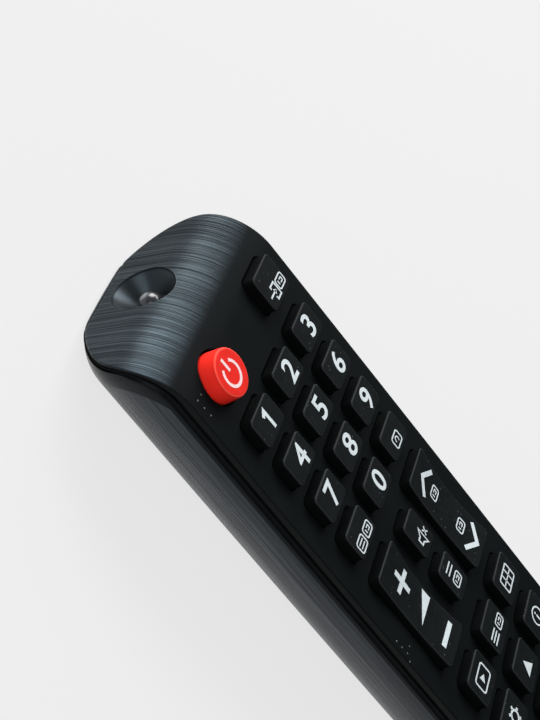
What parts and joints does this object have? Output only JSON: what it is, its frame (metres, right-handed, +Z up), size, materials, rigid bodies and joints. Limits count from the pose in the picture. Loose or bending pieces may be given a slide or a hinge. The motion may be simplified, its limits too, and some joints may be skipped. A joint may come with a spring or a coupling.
{
  "type": "universal remote control",
  "caption": "Slim hand-held infrared remote control with a rubber keypad, two rocker keys, a red power key, a dimpled nose and a sliding battery door.",
  "frame": {"origin": "middle of the underside: halfway along and across, on the face it lies on", "axes": "+Y along the body from the tail to the nose that holds the emitter, +Z up out of the key deck, +X to the right with the nose away from the user"},
  "size_m": [0.0484, 0.199, 0.0229],
  "materials": {
    "upper_cover_black": "satin black moulding, hairline brushed over the nose",
    "lower_cover_grey": "dark grey moulding with a brushed metal look",
    "key_rubber": "matte black silicone rubber with white printed marks",
    "power_rubber": "matte red silicone rubber with a white printed mark",
    "red_rubber": "matte red silicone rubber",
    "green_rubber": "matte green silicone rubber",
    "yellow_rubber": "matte yellow silicone rubber",
    "blue_rubber": "matte blue silicone rubber",
    "mat_rubber": "matte dark silicone sheet",
    "board_green": "green solder mask over glass laminate",
    "chip_black": "moulded black resin with tinned legs",
    "resonator_tan": "dipped ceramic",
    "capacitor_sleeve": "printed plastic sleeve on an aluminium can",
    "emitter_resin": "pale clear resin",
    "cell_jacket": "plain metal jacket",
    "contact_nickel": "nickel plated sheet and wire"
  },
  "bodies": {
    "case": {"top_cover": "upper_cover_black", "bottom_cover": "lower_cover_grey", "keypad_mat": "mat_rubber", "circuit_board": "board_green", "control_chip": "chip_black", "resonator": "resonator_tan", "capacitor": "capacitor_sleeve", "driver_transistor": "chip_black", "resistors": "chip_black", "ir_emitter": "emitter_resin", "battery_left": "cell_jacket", "battery_right": "cell_jacket", "positive_contact": "contact_nickel", "negative_contact": "contact_nickel", "link_contact": "contact_nickel"},
    "door": {"battery_door": "lower_cover_grey"},
    "power_key_body": {"power_key": "power_rubber"},
    "source_key_body": {"source_key": "key_rubber"},
    "number_1_key_body": {"number_1_key": "key_rubber"},
    "number_2_key_body": {"number_2_key": "key_rubber"},
    "number_3_key_body": {"number_3_key": "key_rubber"},
    "number_4_key_body": {"number_4_key": "key_rubber"},
    "number_5_key_body": {"number_5_key": "key_rubber"},
    "number_6_key_body": {"number_6_key": "key_rubber"},
    "number_7_key_body": {"number_7_key": "key_rubber"},
    "number_8_key_body": {"number_8_key": "key_rubber"},
    "number_9_key_body": {"number_9_key": "key_rubber"},
    "page_key_body": {"page_key": "key_rubber"},
    "number_0_key_body": {"number_0_key": "key_rubber"},
    "previous_key_body": {"previous_key": "key_rubber"},
    "mute_key_body": {"mute_key": "key_rubber"},
    "list_key_body": {"list_key": "key_rubber"},
    "media_key_body": {"media_key": "key_rubber"},
    "menu_key_body": {"menu_key": "key_rubber"},
    "guide_key_body": {"guide_key": "key_rubber"},
    "tools_key_body": {"tools_key": "key_rubber"},
    "up_key_body": {"up_key": "key_rubber"},
    "info_key_body": {"info_key": "key_rubber"},
    "left_key_body": {"left_key": "key_rubber"},
    "ok_key_body": {"ok_key": "key_rubber"},
    "right_key_body": {"right_key": "key_rubber"},
    "back_key_body": {"back_key": "key_rubber"},
    "down_key_body": {"down_key": "key_rubber"},
    "exit_key_body": {"exit_key": "key_rubber"},
    "red_key_body": {"red_key": "red_rubber"},
    "green_key_body": {"green_key": "green_rubber"},
    "yellow_key_body": {"yellow_key": "yellow_rubber"},
    "blue_key_body": {"blue_key": "blue_rubber"},
    "function_left_key_body": {"function_left_key": "key_rubber"},
    "function_middle_key_body": {"function_middle_key": "key_rubber"},
    "function_right_key_body": {"function_right_key": "key_rubber"},
    "rewind_key_body": {"rewind_key": "key_rubber"},
    "pause_key_body": {"pause_key": "key_rubber"},
    "forward_key_body": {"forward_key": "key_rubber"},
    "record_key_body": {"record_key": "key_rubber"},
    "play_key_body": {"play_key": "key_rubber"},
    "stop_key_body": {"stop_key": "key_rubber"},
    "volume_rocker_body": {"volume_rocker": "key_rubber"},
    "programme_rocker_body": {"programme_rocker": "key_rubber"}
  },
  "joints": [
    {"name": "power_key_press", "type": "slide", "parent": "case", "child": "power_key_body", "axis": [0, 0, -1], "range_m": [0, 0.0009], "stiffness_N_per_m": 1500},
    {"name": "source_key_press", "type": "slide", "parent": "case", "child": "source_key_body", "axis": [0, 0, -1], "range_m": [0, 0.0009], "stiffness_N_per_m": 1500},
    {"name": "number_1_key_press", "type": "slide", "parent": "case", "child": "number_1_key_body", "axis": [0, 0, -1], "range_m": [0, 0.0009], "stiffness_N_per_m": 1500},
    {"name": "number_2_key_press", "type": "slide", "parent": "case", "child": "number_2_key_body", "axis": [0, 0, -1], "range_m": [0, 0.0009], "stiffness_N_per_m": 1500},
    {"name": "number_3_key_press", "type": "slide", "parent": "case", "child": "number_3_key_body", "axis": [0, 0, -1], "range_m": [0, 0.0009], "stiffness_N_per_m": 1500},
    {"name": "number_4_key_press", "type": "slide", "parent": "case", "child": "number_4_key_body", "axis": [0, 0, -1], "range_m": [0, 0.0009], "stiffness_N_per_m": 1500},
    {"name": "number_5_key_press", "type": "slide", "parent": "case", "child": "number_5_key_body", "axis": [0, 0, -1], "range_m": [0, 0.0009], "stiffness_N_per_m": 1500},
    {"name": "number_6_key_press", "type": "slide", "parent": "case", "child": "number_6_key_body", "axis": [0, 0, -1], "range_m": [0, 0.0009], "stiffness_N_per_m": 1500},
    {"name": "number_7_key_press", "type": "slide", "parent": "case", "child": "number_7_key_body", "axis": [0, 0, -1], "range_m": [0, 0.0009], "stiffness_N_per_m": 1500},
    {"name": "number_8_key_press", "type": "slide", "parent": "case", "child": "number_8_key_body", "axis": [0, 0, -1], "range_m": [0, 0.0009], "stiffness_N_per_m": 1500},
    {"name": "number_9_key_press", "type": "slide", "parent": "case", "child": "number_9_key_body", "axis": [0, 0, -1], "range_m": [0, 0.0009], "stiffness_N_per_m": 1500},
    {"name": "page_key_press", "type": "slide", "parent": "case", "child": "page_key_body", "axis": [0, 0, -1], "range_m": [0, 0.0009], "stiffness_N_per_m": 1500},
    {"name": "number_0_key_press", "type": "slide", "parent": "case", "child": "number_0_key_body", "axis": [0, 0, -1], "range_m": [0, 0.0009], "stiffness_N_per_m": 1500},
    {"name": "previous_key_press", "type": "slide", "parent": "case", "child": "previous_key_body", "axis": [0, 0, -1], "range_m": [0, 0.0009], "stiffness_N_per_m": 1500},
    {"name": "mute_key_press", "type": "slide", "parent": "case", "child": "mute_key_body", "axis": [0, 0, -1], "range_m": [0, 0.0009], "stiffness_N_per_m": 1500},
    {"name": "list_key_press", "type": "slide", "parent": "case", "child": "list_key_body", "axis": [0, 0, -1], "range_m": [0, 0.0009], "stiffness_N_per_m": 1500},
    {"name": "media_key_press", "type": "slide", "parent": "case", "child": "media_key_body", "axis": [0, 0, -1], "range_m": [0, 0.0009], "stiffness_N_per_m": 1500},
    {"name": "menu_key_press", "type": "slide", "parent": "case", "child": "menu_key_body", "axis": [0, 0, -1], "range_m": [0, 0.0009], "stiffness_N_per_m": 1500},
    {"name": "guide_key_press", "type": "slide", "parent": "case", "child": "guide_key_body", "axis": [0, 0, -1], "range_m": [0, 0.0009], "stiffness_N_per_m": 1500},
    {"name": "tools_key_press", "type": "slide", "parent": "case", "child": "tools_key_body", "axis": [0, 0, -1], "range_m": [0, 0.0009], "stiffness_N_per_m": 1500},
    {"name": "up_key_press", "type": "slide", "parent": "case", "child": "up_key_body", "axis": [0, 0, -1], "range_m": [0, 0.0009], "stiffness_N_per_m": 1500},
    {"name": "info_key_press", "type": "slide", "parent": "case", "child": "info_key_body", "axis": [0, 0, -1], "range_m": [0, 0.0009], "stiffness_N_per_m": 1500},
    {"name": "left_key_press", "type": "slide", "parent": "case", "child": "left_key_body", "axis": [0, 0, -1], "range_m": [0, 0.0009], "stiffness_N_per_m": 1500},
    {"name": "ok_key_press", "type": "slide", "parent": "case", "child": "ok_key_body", "axis": [0, 0, -1], "range_m": [0, 0.0009], "stiffness_N_per_m": 1500},
    {"name": "right_key_press", "type": "slide", "parent": "case", "child": "right_key_body", "axis": [0, 0, -1], "range_m": [0, 0.0009], "stiffness_N_per_m": 1500},
    {"name": "back_key_press", "type": "slide", "parent": "case", "child": "back_key_body", "axis": [0, 0, -1], "range_m": [0, 0.0009], "stiffness_N_per_m": 1500},
    {"name": "down_key_press", "type": "slide", "parent": "case", "child": "down_key_body", "axis": [0, 0, -1], "range_m": [0, 0.0009], "stiffness_N_per_m": 1500},
    {"name": "exit_key_press", "type": "slide", "parent": "case", "child": "exit_key_body", "axis": [0, 0, -1], "range_m": [0, 0.0009], "stiffness_N_per_m": 1500},
    {"name": "red_key_press", "type": "slide", "parent": "case", "child": "red_key_body", "axis": [0, 0, -1], "range_m": [0, 0.0009], "stiffness_N_per_m": 1500},
    {"name": "green_key_press", "type": "slide", "parent": "case", "child": "green_key_body", "axis": [0, 0, -1], "range_m": [0, 0.0009], "stiffness_N_per_m": 1500},
    {"name": "yellow_key_press", "type": "slide", "parent": "case", "child": "yellow_key_body", "axis": [0, 0, -1], "range_m": [0, 0.0009], "stiffness_N_per_m": 1500},
    {"name": "blue_key_press", "type": "slide", "parent": "case", "child": "blue_key_body", "axis": [0, 0, -1], "range_m": [0, 0.0009], "stiffness_N_per_m": 1500},
    {"name": "function_left_key_press", "type": "slide", "parent": "case", "child": "function_left_key_body", "axis": [0, 0, -1], "range_m": [0, 0.0009], "stiffness_N_per_m": 1500},
    {"name": "function_middle_key_press", "type": "slide", "parent": "case", "child": "function_middle_key_body", "axis": [0, 0, -1], "range_m": [0, 0.0009], "stiffness_N_per_m": 1500},
    {"name": "function_right_key_press", "type": "slide", "parent": "case", "child": "function_right_key_body", "axis": [0, 0, -1], "range_m": [0, 0.0009], "stiffness_N_per_m": 1500},
    {"name": "rewind_key_press", "type": "slide", "parent": "case", "child": "rewind_key_body", "axis": [0, 0, -1], "range_m": [0, 0.0009], "stiffness_N_per_m": 1500},
    {"name": "pause_key_press", "type": "slide", "parent": "case", "child": "pause_key_body", "axis": [0, 0, -1], "range_m": [0, 0.0009], "stiffness_N_per_m": 1500},
    {"name": "forward_key_press", "type": "slide", "parent": "case", "child": "forward_key_body", "axis": [0, 0, -1], "range_m": [0, 0.0009], "stiffness_N_per_m": 1500},
    {"name": "record_key_press", "type": "slide", "parent": "case", "child": "record_key_body", "axis": [0, 0, -1], "range_m": [0, 0.0009], "stiffness_N_per_m": 1500},
    {"name": "play_key_press", "type": "slide", "parent": "case", "child": "play_key_body", "axis": [0, 0, -1], "range_m": [0, 0.0009], "stiffness_N_per_m": 1500},
    {"name": "stop_key_press", "type": "slide", "parent": "case", "child": "stop_key_body", "axis": [0, 0, -1], "range_m": [0, 0.0009], "stiffness_N_per_m": 1500},
    {"name": "volume_rocker_tip", "type": "hinge", "parent": "case", "child": "volume_rocker_body", "pos_m": [-0.0127, 0.0225, 0.01715], "axis": [1, 0, 0], "range_deg": [-3.5, 3.5], "stiffness_Nm_per_rad": 0.28},
    {"name": "programme_rocker_tip", "type": "hinge", "parent": "case", "child": "programme_rocker_body", "pos_m": [0.0127, 0.0225, 0.01715], "axis": [1, 0, 0], "range_deg": [-3.5, 3.5], "stiffness_Nm_per_rad": 0.28},
    {"name": "battery_door_slide", "type": "slide", "parent": "case", "child": "door", "axis": [0, -1, 0], "range_m": [0, 0.06]}
  ]
}
